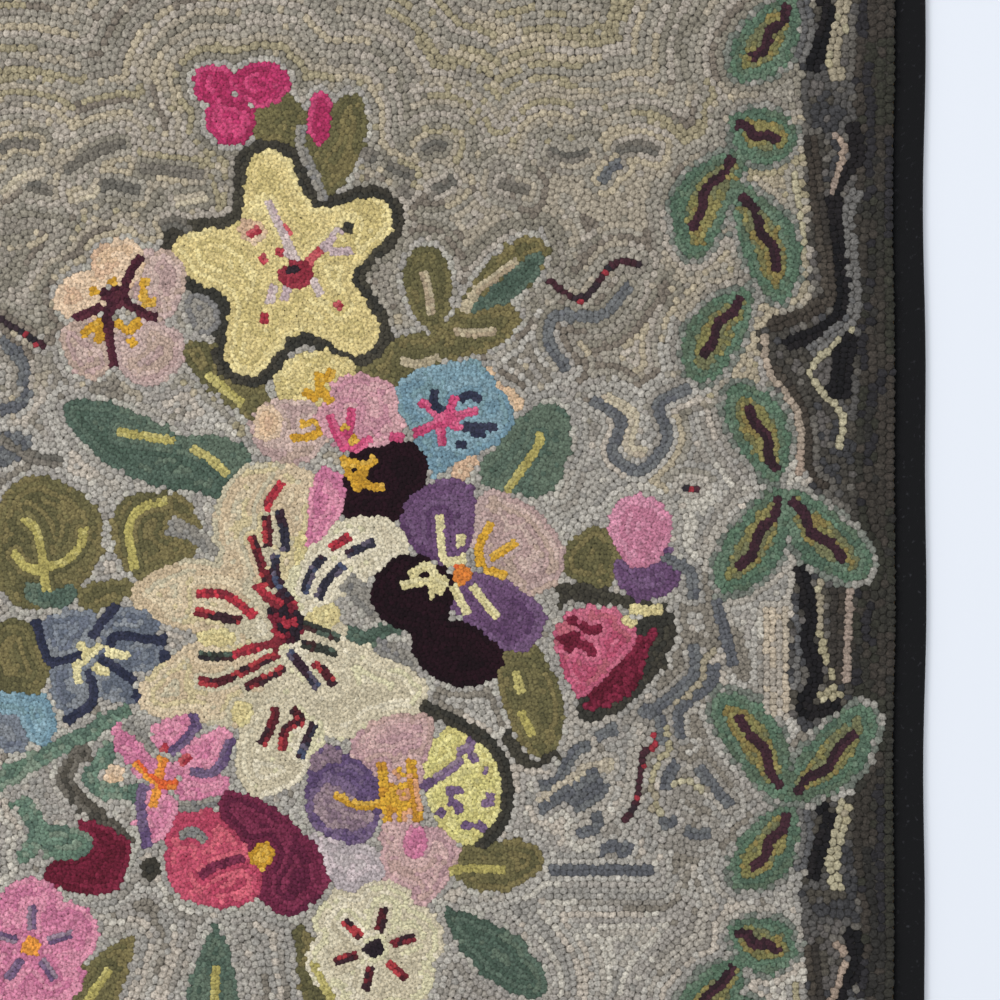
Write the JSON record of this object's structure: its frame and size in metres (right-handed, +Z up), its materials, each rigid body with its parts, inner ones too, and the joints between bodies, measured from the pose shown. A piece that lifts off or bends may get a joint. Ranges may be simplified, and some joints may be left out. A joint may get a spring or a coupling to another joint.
{
  "type": "hooked rug",
  "caption": "Flat hooked wool rug with a flower bouquet, a leaf vine and scroll border, and a black tape binding folded round its rim.",
  "frame": {"origin": "middle of the underside, at the centre of the rug's outline", "axes": "+Z up out of the pile, +Y along the length towards the top of the pattern, +X to the right of the pattern"},
  "size_m": [0.9, 1.22, 0.0085],
  "materials": {
    "wool_pile": "matt wool loops, mottled greys with coloured flowers and leaves",
    "foundation_cloth": "coarse plain-woven jute",
    "binding_tape": "matt black cotton twill"
  },
  "bodies": {
    "root": {"hooked_field": "wool_pile", "binding_right": "binding_tape", "binding_top": "binding_tape", "binding_left": "binding_tape", "binding_bottom": "binding_tape"}
  },
  "joints": []
}
